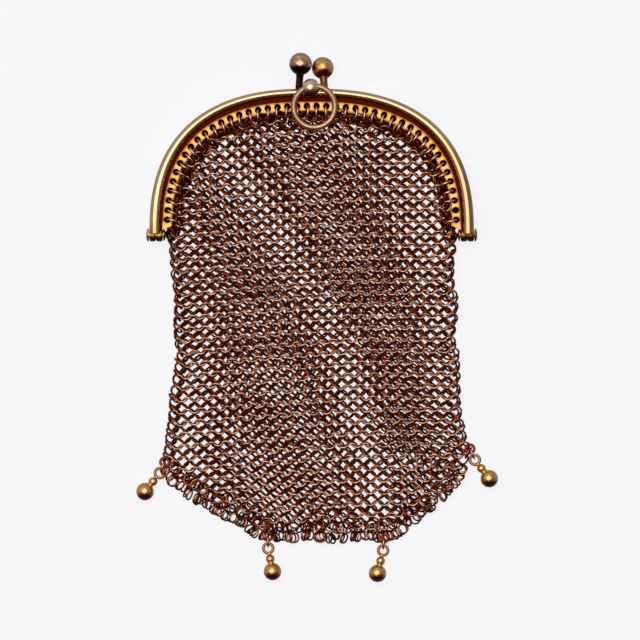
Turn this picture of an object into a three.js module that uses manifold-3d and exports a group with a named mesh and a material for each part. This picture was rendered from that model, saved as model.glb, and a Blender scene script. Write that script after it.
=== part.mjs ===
// A small mesh purse: ring-mesh bag on a hinged, bowed metal frame with a kiss clasp, a carry ring
// and four ball drops. It lies closed on its back. Millimetres, +X across, +Y towards the clasp,
// +Z up off the surface; the origin is on the flat underside of the bag, in line with the frame.
import * as THREE from 'three';
import { mergeVertices } from 'three/addons/utils/BufferGeometryUtils.js';
import Module from 'manifold-3d';

const wasm = await Module();
wasm.setup();

// Frame: two half-round bows, front and back, that meet at the middle plane
const FRAME_HALF_WIDTH = 32.4;
const FRAME_RISE = 29.2; // from the hinge line to the top of the bow
const BOW_SQUARENESS = 2.5; // exponent of the bow's curve: 2 is an ellipse, more is squarer
const HINGE_Y = 17;
const FRAME_THICKNESS = 5;
const BOW_PARTING = 0.2; // slit between the two closed bows
const TUBE_WIDTH_AT_HINGE = 2.2;
const TUBE_WIDTH_AT_TOP = 1.55;
const TUBE_END_ABOVE_HINGE = 0.3;
const CLEARANCE = 0.25;

// Pierced flange inside each bow, sunk below the tube's crest
const GROOVE_AT_HINGE = 0.4; // between the tube and the flange
const FLANGE_WIDTH = 1.9;
const FLANGE_THICKNESS = 0.4;
const FLANGE_SINK = 1.1; // from the tube's crest down to the flange's face
const WEB_THICKNESS = 0.4;
const WEB_LAP = 0.15;
const FLANGE_END_SLANT = 1;
const HOLE_RADIUS = 0.62;
const HOLE_PITCH = 1.93;
const FIRST_HOLE_ABOVE_HINGE = 3;

// Hinges: two knuckles on a riveted pin at each end of the bows
const BARREL_RADIUS = 1.3;
const KNUCKLE_WIDTH = 1.1;
const FIRST_KNUCKLE_INSET = 0.05;
const PIN_RADIUS = 0.5;
const OUTER_HEAD_LENGTH = 0.5;
const INNER_HEAD_LENGTH = 0.45;

// Kiss clasp: a ball on a leaning stem from each bow; the back bow's ball leans forwards over
const BACK_BALL_RADIUS = 2.25;
const BACK_BALL_ABOVE_BOW = 4.96;
const FRONT_BALL_RADIUS = 2.2;
const FRONT_BALL_ABOVE_BOW = 4.2;
const BALL_HEIGHT_STEP = 1.2;
const BALL_GAP = 0.19;
const BALL_FLOOR_GAP = 0.1;
const STEM_RADIUS = 0.73;
const STEM_ROOT_INSET = 0.8;
const STEM_ROOT_HEIGHT = 1; // from the face of the bow that the stem springs from
const STEM_SPREAD = 0.4; // how much wider apart the stems are at the bows than at the balls

// Carry ring through a drilled ball on the front bow's shoulder
const EYE_RADIUS = 1.65;
const EYE_X = -0.2;
const EYE_ABOVE_BOW = 0.12;
const RING_RADIUS = 4.13;
const RING_WIRE_RADIUS = 0.53;
const RING_OVER_CREST = 0.47;
const RING_OVER_MESH = 0.1;
const RING_PLAY = 0.15;
const RING_TURN = 11; // degrees, how far the ring hangs to the right

// Mesh bag: one thin wall, folded at the edge, open along the frame
const BAG_LENGTH = 60;
const BAG_WALL = 1.1;
const BAG_HOLLOW = 0.9;
const BAG_MOUTH_GAP = 0.3;
const BAG_MOUTH_ABOVE_HINGE = 1.7;
const MOUTH_BLEND = 14; // distance over which the bag drops from the flange to its own height
const LIP_THICKNESS = 1;
const LIP_BLEND = 3.5;
const SEAM_WIDTH = 1.4;
const RIPPLE_HEIGHT = 0.2;
const RIPPLE_ACROSS = 39; // wavelengths of the soft waves in the front
const RIPPLE_ALONG = 57;
const RIPPLE_SHORT = 21;

// Drops: a flat loop, small ball, collar and large ball, on a standing link
const DROP_LOOP_RADIUS = 0.97;
const DROP_LOOP_WIRE_RADIUS = 0.3;
const SMALL_BALL_RADIUS = 0.9;
const COLLAR_RADIUS = 0.62;
const COLLAR_LENGTH = 0.36;
const LARGE_BALL_RADIUS = 1.75;
const LINK_RADIUS = 1.1;
const LINK_WIRE_RADIUS = 0.2;
const EYELET_RADIUS = 0.85;
const EYELET_WIRE_RADIUS = 0.29;
const EYELET_PLAY = 0.15;
const LOOP_PLAY = 0.1;
const FLOOR_GAP = 0.05;

// Bag's side edges: share of the bag's length down from the hinge, and of its half width across
const SIDE_EDGE = [
  { down: 0.020, left: 1.000, right: 1.000 },
  { down: 0.083, left: 0.985, right: 0.988 },
  { down: 0.163, left: 0.965, right: 0.990 },
  { down: 0.283, left: 0.951, right: 1.003 },
  { down: 0.403, left: 0.938, right: 1.017 },
  { down: 0.483, left: 0.951, right: 1.028 },
  { down: 0.623, left: 0.979, right: 1.049 },
];
const SIDE_CORNER = { left: { down: 0.760, across: 0.990 }, right: { down: 0.717, across: 1.068 } };
const SLANT_EDGE = [
  { down: 0.807, left: 0.972, right: 1.028 },
  { down: 0.857, left: 0.878, right: 0.941 },
  { down: 0.900, left: 0.736, right: 0.837 },
  { down: 0.960, left: 0.486, right: 0.681 },
];
const FOOT_CORNER = { left: { down: 0.991, across: 0.307 }, right: { down: 0.998, across: 0.497 } };

// Drops by name: degrees in plan of the corner's eyelet, of the link and of the drop
const DROPS = [
  { name: 'left', corner: SIDE_CORNER.left, side: -1, eyelet: 170, link: -113.6, drop: -128.6 },
  { name: 'foot_left', corner: FOOT_CORNER.left, side: -1, eyelet: -85, link: -88, drop: -79.3 },
  { name: 'foot_right', corner: FOOT_CORNER.right, side: 1, eyelet: -88, link: -92, drop: -104 },
  { name: 'right', corner: SIDE_CORNER.right, side: 1, eyelet: 14, link: -65.8, drop: -52.6 },
];

// Sizes that follow
const MIDDLE = FRAME_THICKNESS / 2;
const BOW_TOP = HINGE_Y + FRAME_RISE;
const FLANGE_OUTER_INSET = TUBE_WIDTH_AT_HINGE + GROOVE_AT_HINGE;
const FLANGE_INNER_INSET = FLANGE_OUTER_INSET + FLANGE_WIDTH;
const HOLE_INSET = FLANGE_OUTER_INSET + 0.47 * FLANGE_WIDTH;
const FLANGE_FACE = FRAME_THICKNESS - FLANGE_SINK;
const FLANGE_BACK = FLANGE_FACE - FLANGE_THICKNESS;
const FLANGE_MIDDLE = (FLANGE_FACE + FLANGE_BACK) / 2;
const SECOND_KNUCKLE_INSET = FIRST_KNUCKLE_INSET + KNUCKLE_WIDTH + CLEARANCE;
const KNUCKLES_END_INSET = SECOND_KNUCKLE_INSET + KNUCKLE_WIDTH;
const HINGE_END_INSET = KNUCKLES_END_INSET + CLEARANCE + INNER_HEAD_LENGTH;
const BAG_HALF_WIDTH = FRAME_HALF_WIDTH - HINGE_END_INSET - BAG_MOUTH_GAP;
const BAG_THICKNESS = 2 * BAG_WALL + BAG_HOLLOW;
const BAG_MOUTH_TOP = FLANGE_MIDDLE + BAG_WALL / 2;
const LINK_HEIGHT = LINK_RADIUS + LINK_WIRE_RADIUS + FLOOR_GAP;

const GOLD = new THREE.MeshStandardMaterial({ color: 0xc9974a, roughness: 0.28, metalness: 1 });
const BRIGHT_GOLD = new THREE.MeshStandardMaterial({ color: 0xb98a45, roughness: 0.32, metalness: 1 });
const ROSE_GOLD = new THREE.MeshStandardMaterial({ color: 0xc08d66, roughness: 0.25, metalness: 1 });
const MESH_METAL = new THREE.MeshStandardMaterial({ color: 0x94664c, roughness: 0.4, metalness: 1 });

const radians = THREE.MathUtils.degToRad;
const mix = THREE.MathUtils.lerp;
const smooth = (x) => THREE.MathUtils.smoothstep(x, 0, 1);

function toSolid(geometry) {
  const bare = geometry.clone();
  bare.deleteAttribute('normal');
  bare.deleteAttribute('uv');
  const merged = mergeVertices(bare, 1e-5);
  return new wasm.Manifold(new wasm.Mesh({
    numProp: 3,
    vertProperties: new Float32Array(merged.attributes.position.array),
    triVerts: new Uint32Array(merged.index.array),
  }));
}

function toGeometry(solid) {
  const mesh = solid.getMesh();
  const geometry = new THREE.BufferGeometry();
  geometry.setAttribute('position', new THREE.BufferAttribute(mesh.vertProperties, 3));
  geometry.setIndex(new THREE.BufferAttribute(mesh.triVerts, 1));
  geometry.computeVertexNormals();
  return geometry;
}

function fuse(geometries) {
  return geometries.map(toSolid).reduce((all, next) => all.add(next));
}

// Outer edge of the closed frame, seen from the front, from the left hinge over to the right one
class BowOutline extends THREE.Curve {
  getPoint(t, target = new THREE.Vector3()) {
    const turn = Math.PI * t;
    const power = 2 / BOW_SQUARENESS;
    const across = Math.sign(Math.cos(turn)) * Math.abs(Math.cos(turn)) ** power;
    const up = Math.abs(Math.sin(turn)) ** power;
    return target.set(-FRAME_HALF_WIDTH * across, HINGE_Y + FRAME_RISE * up, 0);
  }
}

const OUTLINE = new BowOutline();
OUTLINE.arcLengthDivisions = 600;

// A point at share u of the outline, moved inwards by the inset
function insetPoint(u, inset) {
  const point = OUTLINE.getPointAt(u);
  const tangent = OUTLINE.getTangentAt(u);
  return new THREE.Vector3(point.x + inset * tangent.y, point.y - inset * tangent.x, 0);
}

// The share at which the line at this inset first stands this far above the hinge
function shareAbove(inset, above) {
  let low = 0;
  let high = 0.5;
  for (let step = 0; step < 30; step += 1) {
    const middle = (low + high) / 2;
    if (insetPoint(middle, inset).y < HINGE_Y + above) low = middle;
    else high = middle;
  }
  return high;
}

// Points along the line at this inset, evenly spaced, from one end height to the other
function insetLine(inset, aboveLeft, divisions, aboveRight = aboveLeft) {
  const first = shareAbove(inset, aboveLeft);
  const last = 1 - shareAbove(inset, aboveRight);
  const fine = 200;
  const points = Array.from({ length: fine + 1 }, (_, i) => insetPoint(mix(first, last, i / fine), inset));
  return new THREE.CatmullRomCurve3(points).getSpacedPoints(divisions);
}

// A solid through closed sections of equal count, with its two end faces given as triangles
function loft(sections, capTriangles) {
  const count = sections[0].length;
  const index = [];
  for (let i = 0; i < sections.length - 1; i += 1) {
    for (let j = 0; j < count; j += 1) {
      const a = i * count + j;
      const b = i * count + ((j + 1) % count);
      index.push(a, b, a + count, b, b + count, a + count);
    }
  }
  const end = (sections.length - 1) * count;
  for (const [a, b, c] of capTriangles) index.push(a, c, b, end + a, end + b, end + c);
  const geometry = new THREE.BufferGeometry().setFromPoints(sections.flat());
  geometry.setIndex(index);
  return geometry;
}

// Tube width at share u: widest at the hinges, narrowest at the top
function tubeWidth(u) {
  return mix(TUBE_WIDTH_AT_HINGE, TUBE_WIDTH_AT_TOP, Math.sin(Math.PI * u) ** 2);
}

// Section of a front bow: half-round tube and the thin web under the flange, as inset and height
function bowSection(width) {
  const foot = MIDDLE + BOW_PARTING / 2;
  const rise = FRAME_THICKNESS - foot;
  const webTop = FLANGE_BACK;
  const webEnd = FLANGE_OUTER_INSET + WEB_LAP;
  return [
    [0, foot],
    [0, foot + 0.36 * rise],
    [0.10 * width, foot + 0.66 * rise],
    [0.28 * width, foot + 0.90 * rise],
    [0.50 * width, FRAME_THICKNESS],
    [0.74 * width, foot + 0.92 * rise],
    [0.93 * width, foot + 0.72 * rise],
    [width, foot + 0.48 * rise],
    [width, webTop],
    [webEnd, webTop],
    [webEnd, webTop - WEB_THICKNESS],
    [width, webTop - WEB_THICKNESS],
    [width, foot],
  ].map(([inset, height]) => new THREE.Vector2(inset, height));
}

// Height seen from either face: the back bow is the front one turned about the middle plane
const facing = (side, height) => (side > 0 ? height : FRAME_THICKNESS - height);

// The section as the bow on this side has it, running clockwise for the loft's outward faces
function turnedSection(side, width) {
  const section = bowSection(width).map(({ x, y }) => new THREE.Vector2(x, facing(side, y)));
  return side > 0 ? section : section.reverse();
}

function bowTube(side) {
  const stations = 34;
  const first = shareAbove(0, TUBE_END_ABOVE_HINGE);
  const sections = [];
  for (let i = 0; i <= stations; i += 1) {
    const u = mix(first, 1 - first, i / stations);
    sections.push(turnedSection(side, tubeWidth(u)).map(({ x, y }) => insetPoint(u, x).setZ(y)));
  }
  const faces = THREE.ShapeUtils.triangulateShape(turnedSection(side, tubeWidth(first)), []);
  return loft(sections, faces.map(([a, b, c]) => [a, c, b]));
}

function flange(side) {
  const divisions = 32;
  const outer = insetLine(FLANGE_OUTER_INSET, BARREL_RADIUS, divisions);
  const inner = insetLine(FLANGE_INNER_INSET, BARREL_RADIUS + FLANGE_END_SLANT, divisions);
  const shape = new THREE.Shape([...outer, ...inner.reverse()].map((p) => new THREE.Vector2(p.x, p.y)));
  const [first, second] = insetLine(HOLE_INSET, FIRST_HOLE_ABOVE_HINGE, 400);
  const pitches = Math.round((400 * first.distanceTo(second)) / HOLE_PITCH);
  for (const centre of insetLine(HOLE_INSET, FIRST_HOLE_ABOVE_HINGE, pitches)) {
    const hole = new THREE.Path();
    hole.absarc(centre.x, centre.y, HOLE_RADIUS, 0, 2 * Math.PI);
    shape.holes.push(hole);
  }
  const plate = new THREE.ExtrudeGeometry(shape, {
    depth: FLANGE_THICKNESS, bevelEnabled: false, curveSegments: 4,
  });
  return plate.translate(0, 0, side > 0 ? FLANGE_BACK : FRAME_THICKNESS - FLANGE_FACE);
}

// A round bar along X at the hinge, from one inset to another, on the left (-1) or right (1)
function hingeBar(end, radius, from, to) {
  const bar = new THREE.CylinderGeometry(radius, radius, to - from, 14);
  bar.rotateZ(Math.PI / 2);
  return bar.translate(end * (FRAME_HALF_WIDTH - (from + to) / 2), HINGE_Y, MIDDLE);
}

// A round bar between two points
function bar(from, to, radius, sides) {
  const along = new THREE.Vector3().subVectors(to, from);
  const geometry = new THREE.CylinderGeometry(radius, radius, along.length(), sides);
  const upright = new THREE.Vector3(0, 1, 0);
  const turn = new THREE.Quaternion().setFromUnitVectors(upright, along.clone().normalize());
  return geometry.applyQuaternion(turn).translate(...from.clone().add(to).multiplyScalar(0.5));
}

// The balls lie side by side, a step apart in height, with a small gap where they pass
const BALL_SPACING = Math.sqrt(
  (BACK_BALL_RADIUS + FRONT_BALL_RADIUS + BALL_GAP) ** 2
  - (BACK_BALL_ABOVE_BOW - FRONT_BALL_ABOVE_BOW) ** 2
  - BALL_HEIGHT_STEP ** 2,
);

// The front bow's ball is the right-hand one and lies lower than the back bow's
function claspBall(side) {
  const radius = side > 0 ? FRONT_BALL_RADIUS : BACK_BALL_RADIUS;
  const above = side > 0 ? FRONT_BALL_ABOVE_BOW : BACK_BALL_ABOVE_BOW;
  const height = FRONT_BALL_RADIUS + BALL_FLOOR_GAP + (side > 0 ? 0 : BALL_HEIGHT_STEP);
  const x = side * BALL_SPACING / 2;
  const centre = new THREE.Vector3(x, BOW_TOP + above, height);
  const rootHeight = facing(side, FRAME_THICKNESS - STEM_ROOT_HEIGHT);
  const root = new THREE.Vector3(x + side * STEM_SPREAD, BOW_TOP - STEM_ROOT_INSET, rootHeight);
  const ball = new THREE.SphereGeometry(radius, 14, 10).translate(...centre);
  return [ball, bar(root, centre, STEM_RADIUS, 10)];
}

// Centre of the eye ball, which is also on the carry ring's swing axis
const EYE_HEIGHT = FRAME_THICKNESS + RING_OVER_CREST + RING_WIRE_RADIUS;
const EYE = new THREE.Vector3(EYE_X, BOW_TOP + EYE_ABOVE_BOW, EYE_HEIGHT);
const RING_AXIS = new THREE.Vector3(-Math.cos(radians(RING_TURN)), -Math.sin(radians(RING_TURN)), 0);

// The wire bows inside the eye: the swing axis cuts that bow in half, and the bore leaves it play
const RING_SAGITTA = RING_RADIUS - Math.sqrt(RING_RADIUS ** 2 - EYE_RADIUS ** 2);
const EYE_BORE_RADIUS = RING_WIRE_RADIUS + RING_SAGITTA / 2 + RING_PLAY;

// Each bow is tube, web, flange, knuckles and clasp ball soldered into one piece
function bow(side) {
  const ownKnuckle = side > 0 ? FIRST_KNUCKLE_INSET : SECOND_KNUCKLE_INSET;
  const otherKnuckle = side > 0 ? SECOND_KNUCKLE_INSET : FIRST_KNUCKLE_INSET;
  const room = BARREL_RADIUS + CLEARANCE;
  let solid = fuse([bowTube(side), flange(side)]);
  for (const end of [-1, 1]) {
    const gap = hingeBar(end, room, otherKnuckle - CLEARANCE, otherKnuckle + KNUCKLE_WIDTH + CLEARANCE);
    const knuckle = hingeBar(end, BARREL_RADIUS, ownKnuckle, ownKnuckle + KNUCKLE_WIDTH);
    const bore = hingeBar(end, PIN_RADIUS + CLEARANCE, -OUTER_HEAD_LENGTH, HINGE_END_INSET);
    solid = solid.subtract(toSolid(gap)).add(toSolid(knuckle)).subtract(toSolid(bore));
  }
  solid = solid.add(fuse(claspBall(side)));
  if (side > 0) {
    const reach = RING_AXIS.clone().multiplyScalar(EYE_RADIUS + 1);
    const drill = bar(EYE.clone().sub(reach), EYE.clone().add(reach), EYE_BORE_RADIUS, 12);
    const ball = new THREE.SphereGeometry(EYE_RADIUS, 14, 10).translate(...EYE);
    solid = solid.add(toSolid(ball)).subtract(toSolid(drill));
  }
  return toGeometry(solid);
}

// Riveted pin: a shaft with a domed head outside and a flat one inside
function hingePin(end) {
  const domeRing = 0.6 * OUTER_HEAD_LENGTH;
  const inner = KNUCKLES_END_INSET + CLEARANCE;
  const outer = FIRST_KNUCKLE_INSET - CLEARANCE;
  const profile = [
    [0, outer - OUTER_HEAD_LENGTH],
    [0.62 * BARREL_RADIUS, outer - 0.85 * OUTER_HEAD_LENGTH],
    [BARREL_RADIUS, outer - OUTER_HEAD_LENGTH + domeRing],
    [BARREL_RADIUS, outer],
    [PIN_RADIUS, outer],
    [PIN_RADIUS, inner],
    [0.9 * BARREL_RADIUS, inner],
    [0.9 * BARREL_RADIUS, inner + 0.6 * INNER_HEAD_LENGTH],
    [0.6 * BARREL_RADIUS, inner + INNER_HEAD_LENGTH],
    [0, inner + INNER_HEAD_LENGTH],
  ].map(([radius, inset]) => new THREE.Vector2(radius, inset));
  const pin = new THREE.LatheGeometry(profile, 14);
  pin.rotateZ(end * Math.PI / 2);
  return toGeometry(toSolid(pin.translate(end * FRAME_HALF_WIDTH, HINGE_Y, MIDDLE)));
}

// The ring slopes from the eye down to just over the mesh
function carryRing() {
  const ring = new THREE.TorusGeometry(RING_RADIUS, RING_WIRE_RADIUS, 8, 32);
  const restHeight = BAG_MOUTH_TOP + RING_OVER_MESH + RING_WIRE_RADIUS;
  ring.translate(0, RING_SAGITTA / 2 - RING_RADIUS, 0);
  ring.rotateX(Math.asin((EYE_HEIGHT - restHeight) / (2 * RING_RADIUS - RING_SAGITTA / 2)));
  ring.rotateZ(radians(RING_TURN));
  return toGeometry(toSolid(ring.translate(...EYE)));
}

// A point of the bag's edge from shares of its length and half width
function edgePoint(side, down, across) {
  return new THREE.Vector3(side * across * BAG_HALF_WIDTH, HINGE_Y - down * BAG_LENGTH, 0);
}

// The bag's closed edge, in five stretches from the left hinge round to the right one
function edgeStretches() {
  const side = (sign, name) => new THREE.CatmullRomCurve3([
    ...SIDE_EDGE.map((row) => edgePoint(sign, row.down, row[name])),
    edgePoint(sign, SIDE_CORNER[name].down, SIDE_CORNER[name].across),
  ]);
  const slant = (sign, name) => new THREE.CatmullRomCurve3([
    edgePoint(sign, SIDE_CORNER[name].down, SIDE_CORNER[name].across),
    ...SLANT_EDGE.map((row) => edgePoint(sign, row.down, row[name])),
    edgePoint(sign, FOOT_CORNER[name].down, FOOT_CORNER[name].across),
  ]);
  const foot = new THREE.LineCurve3(
    edgePoint(-1, FOOT_CORNER.left.down, FOOT_CORNER.left.across),
    edgePoint(1, FOOT_CORNER.right.down, FOOT_CORNER.right.across),
  );
  return [
    { curve: side(-1, 'left'), steps: 9, backwards: false },
    { curve: slant(-1, 'left'), steps: 6, backwards: false },
    { curve: foot, steps: 5, backwards: false },
    { curve: slant(1, 'right'), steps: 6, backwards: true },
    { curve: side(1, 'right'), steps: 9, backwards: true },
  ];
}

// Stations round the edge, each with its point on the mouth: the same share of both lengths
function bagStations() {
  const edge = [];
  for (const { curve, steps, backwards } of edgeStretches()) {
    for (let i = edge.length ? 1 : 0; i <= steps; i += 1) {
      edge.push(curve.getPointAt(backwards ? 1 - i / steps : i / steps));
    }
  }
  const runs = [0];
  for (let i = 1; i < edge.length; i += 1) runs.push(runs[i - 1] + edge[i].distanceTo(edge[i - 1]));
  const mouthInset = FLANGE_INNER_INSET + BAG_MOUTH_GAP;
  const fine = 400;
  const mouth = insetLine(mouthInset, BAG_MOUTH_ABOVE_HINGE, fine);
  return edge.map((point, i) => {
    const place = Math.round((runs[i] / runs[runs.length - 1]) * fine);
    return { edge: point, mouth: mouth[place] };
  });
}

// Heights of the bag's four surfaces, from the distances to the mouth and to the closed edge
function bagHeights(toMouth, toEdge, point) {
  const atMouth = 1 - smooth(toMouth / MOUTH_BLEND);
  const inside = smooth(toEdge / LIP_BLEND);
  const lipCentre = mix(LINK_HEIGHT, MIDDLE, smooth((point.y - HINGE_Y / 2) / (HINGE_Y / 2)));
  const swing = (place, wavelength) => Math.sin((2 * Math.PI * place) / wavelength);
  const across = swing(point.x + RIPPLE_ACROSS / 6, RIPPLE_ACROSS);
  const wave = across * swing(point.y, RIPPLE_ALONG) + 0.5 * swing(point.y, RIPPLE_SHORT);
  const ripple = RIPPLE_HEIGHT * wave * inside * (1 - atMouth);
  const mouthUnder = FRAME_THICKNESS - BAG_MOUTH_TOP;
  const crown = mix(BAG_THICKNESS, BAG_MOUTH_TOP, atMouth);
  const top = mix(lipCentre + LIP_THICKNESS / 2, crown, inside) + ripple;
  const under = mix(lipCentre - LIP_THICKNESS / 2, mix(0, mouthUnder, atMouth), inside);
  const open = smooth((toEdge - SEAM_WIDTH) / LIP_BLEND);
  const least = 0.1;
  const half = mix(least, Math.max(least, (top - under) / 2 - BAG_WALL), open);
  const centre = (top + under) / 2;
  return { top, under, ceiling: centre + half, floor: centre - half };
}

// The bag as one folded wall: front outside, lip, back outside, back inside, seam, front inside
function meshBag() {
  const rows = [0, 0.08, 0.2, 0.4, 0.62, 0.83, 0.95, 1];
  const sections = bagStations().map(({ edge, mouth }) => {
    const span = mouth.distanceTo(edge);
    const at = (share) => {
      const point = new THREE.Vector3().lerpVectors(mouth, edge, share);
      return { point, ...bagHeights(share * span, (1 - share) * span, point) };
    };
    const outside = rows.map(at);
    const inside = rows.map((row) => at(row * (1 - SEAM_WIDTH / span)));
    const raise = (places, name) => places.map((place) => place.point.clone().setZ(place[name]));
    return [
      ...raise(outside, 'top'),
      ...raise(outside, 'under').reverse(),
      ...raise(inside, 'floor'),
      ...raise(inside, 'ceiling').reverse(),
    ];
  });
  const half = 2 * rows.length;
  const count = 2 * half;
  const faces = [];
  for (let j = 0; j < half - 1; j += 1) {
    const a = j;
    const b = j + 1;
    faces.push([a, b, count - 1 - a], [b, count - 1 - b, count - 1 - a]);
  }
  return loft(sections, faces);
}

// Places of one drop: its corner, the eyelet there, the standing link and the flat loop
function dropPlaces({ corner, side, eyelet, link }) {
  const step = (degrees, length) => new THREE.Vector3(
    Math.cos(radians(degrees)) * length,
    Math.sin(radians(degrees)) * length,
    0,
  );
  const tip = edgePoint(side, corner.down, corner.across).setZ(LINK_HEIGHT);
  const eyeletCentre = tip.clone().add(step(eyelet, EYELET_RADIUS));
  const linkReach = LINK_RADIUS - EYELET_PLAY;
  const loopHole = DROP_LOOP_RADIUS - DROP_LOOP_WIRE_RADIUS;
  const loopReach = LINK_RADIUS + loopHole - LINK_WIRE_RADIUS - LOOP_PLAY;
  const linkCentre = eyeletCentre.clone().add(step(link, linkReach));
  const loopCentre = linkCentre.clone().add(step(link, loopReach));
  return { eyeletCentre, linkCentre, loopCentre };
}

function bagWithEyelets() {
  let solid = toSolid(meshBag());
  for (const drop of DROPS) {
    const eyelet = new THREE.TorusGeometry(EYELET_RADIUS, EYELET_WIRE_RADIUS, 6, 10);
    solid = solid.add(toSolid(eyelet.translate(...dropPlaces(drop).eyeletCentre)));
  }
  return toGeometry(solid);
}

function dropLink(drop) {
  const link = new THREE.TorusGeometry(LINK_RADIUS, LINK_WIRE_RADIUS, 6, 14);
  link.rotateX(Math.PI / 2).rotateZ(radians(drop.link));
  return toGeometry(toSolid(link.translate(...dropPlaces(drop).linkCentre)));
}

// Turned profile of a drop beyond its loop, as radius and distance from the loop's centre
function dropProfile() {
  const smallAt = DROP_LOOP_RADIUS + DROP_LOOP_WIRE_RADIUS + SMALL_BALL_RADIUS;
  const collarAt = smallAt + SMALL_BALL_RADIUS;
  const largeAt = collarAt + LARGE_BALL_RADIUS - COLLAR_LENGTH / 4;
  const arc = (centre, radius, from, to, steps) => Array.from({ length: steps + 1 }, (_, i) => {
    const turn = radians(mix(from, to, i / steps));
    return new THREE.Vector2(radius * Math.sin(turn), centre - radius * Math.cos(turn));
  });
  const points = [
    new THREE.Vector2(0, DROP_LOOP_RADIUS),
    new THREE.Vector2(0.35, DROP_LOOP_RADIUS),
    ...arc(smallAt, SMALL_BALL_RADIUS, 30, 140, 4),
    new THREE.Vector2(COLLAR_RADIUS, collarAt - COLLAR_LENGTH / 2),
    new THREE.Vector2(COLLAR_RADIUS, collarAt + COLLAR_LENGTH / 2),
    ...arc(largeAt, LARGE_BALL_RADIUS, 32, 180, 6),
  ];
  points[points.length - 1].x = 0;
  return { points, largeAt };
}

function dropPendant(drop) {
  const { points, largeAt } = dropProfile();
  const loop = new THREE.TorusGeometry(DROP_LOOP_RADIUS, DROP_LOOP_WIRE_RADIUS, 6, 14);
  const turned = new THREE.LatheGeometry(points, 10);
  turned.rotateZ(-Math.PI / 2);
  const pitch = Math.asin((LARGE_BALL_RADIUS + FLOOR_GAP - LINK_HEIGHT) / largeAt);
  const solid = fuse([loop, turned]);
  const geometry = toGeometry(solid).rotateY(-pitch).rotateZ(radians(drop.drop));
  return geometry.translate(...dropPlaces(drop).loopCentre);
}

const group = new THREE.Group();

function addPiece(name, geometry, material) {
  const piece = new THREE.Mesh(geometry, material);
  piece.name = name;
  group.add(piece);
}

addPiece('front_bow', bow(1), GOLD);
addPiece('back_bow', bow(-1), GOLD);
addPiece('hinge_pin_left', hingePin(-1), GOLD);
addPiece('hinge_pin_right', hingePin(1), GOLD);
addPiece('carry_ring', carryRing(), ROSE_GOLD);
addPiece('mesh_bag', bagWithEyelets(), MESH_METAL);
for (const drop of DROPS) {
  addPiece(`drop_link_${drop.name}`, dropLink(drop), MESH_METAL);
  addPiece(`drop_${drop.name}`, dropPendant(drop), BRIGHT_GOLD);
}

export default group;
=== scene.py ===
import bmesh
import bpy
import numpy as np
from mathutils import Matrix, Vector


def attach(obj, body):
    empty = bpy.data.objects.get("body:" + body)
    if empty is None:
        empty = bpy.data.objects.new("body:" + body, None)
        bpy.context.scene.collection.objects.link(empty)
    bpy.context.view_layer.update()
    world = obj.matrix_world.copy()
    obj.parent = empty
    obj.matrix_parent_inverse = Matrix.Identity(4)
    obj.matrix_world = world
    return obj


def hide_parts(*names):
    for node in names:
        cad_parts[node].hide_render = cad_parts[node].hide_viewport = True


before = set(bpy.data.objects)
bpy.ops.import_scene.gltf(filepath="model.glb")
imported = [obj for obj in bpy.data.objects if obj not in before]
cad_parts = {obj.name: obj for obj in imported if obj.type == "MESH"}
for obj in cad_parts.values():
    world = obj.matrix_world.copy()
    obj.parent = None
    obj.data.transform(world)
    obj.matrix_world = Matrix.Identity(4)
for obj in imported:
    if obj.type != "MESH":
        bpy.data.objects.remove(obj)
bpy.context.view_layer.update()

# The tubes of the two bows
# Each bow is a half-round gold tube bent to a squarish arch, the front one over the back one.
# A painted highlight runs along the crest and the sides are painted duller, darker again at the left end and
# down the right side; the ends are filed to sit round the hinge.
frame_half_width = 32.4
frame_rise = 29.2
bow_squareness = 2.5
hinge_y = 17.0
frame_thickness = 5.0
parting_slit = 0.2
tube_width_at_hinge = 2.2
tube_width_at_top = 1.55
tube_end_above_hinge = 0.3
crest_rise = 1.1
barrel_radius = 1.3
barrel_clearance = 0.06
dull_left_until = 0.05
dull_right_from = 0.74
dull_right_over = 0.14
middle_height = frame_thickness / 2


def bow_line(share, inset):
    """Point at a share of the bow's length, moved in by the inset, with the inward direction there.
    The outline is x = -width sign(cos t) |cos t|^(2/n), y = rise sin(t)^(2/n) for t from 0 to half a turn,
    measured along its length; its outward direction is the gradient of |x/width|^n + (y/rise)^n."""
    turn = np.linspace(0, np.pi, 4001)
    power = 2 / bow_squareness
    cosine, sine = np.cos(turn), np.sin(turn).clip(0)
    across = -frame_half_width * np.sign(cosine) * np.abs(cosine) ** power
    up = frame_rise * sine ** power
    run = np.concatenate([[0], np.hypot(np.diff(across), np.diff(up)).cumsum()])
    x = np.interp(share, run / run[-1], across)
    y = np.interp(share, run / run[-1], up)
    slope_x = np.sign(x) * np.abs(x / frame_half_width) ** (bow_squareness - 1) / frame_half_width
    slope_y = np.abs(y / frame_rise) ** (bow_squareness - 1) / frame_rise
    inward = -np.stack([slope_x, slope_y], -1) / np.hypot(slope_x, slope_y)[..., None]
    line = np.stack([x, hinge_y + y], -1) + np.asarray(inset)[..., None] * inward
    return line, inward


def share_above(inset, above):
    """The share of the bow at which its line at this inset first stands this far above the hinge."""
    shares = np.linspace(0, 0.5, 3001)
    heights = bow_line(shares, inset)[0][:, 1] - hinge_y
    return np.interp(above, heights, shares)


def quad_net(copies, along, around, loop_along, loop_around):
    """Corner numbers of the quads between neighbours of nets of points [copy, along, around]."""
    rows = np.arange(along if loop_along else along - 1)
    columns = np.arange(around if loop_around else around - 1)
    i, j = np.meshgrid(rows, columns, indexing="ij")
    next_i, next_j = (i + 1) % along, (j + 1) % around
    corners = [i * around + j, next_i * around + j, next_i * around + next_j, i * around + next_j]
    net = np.stack(corners, -1).reshape(1, -1, 4)
    return (net + np.arange(copies)[:, None, None] * along * around).reshape(-1, 4)


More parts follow.
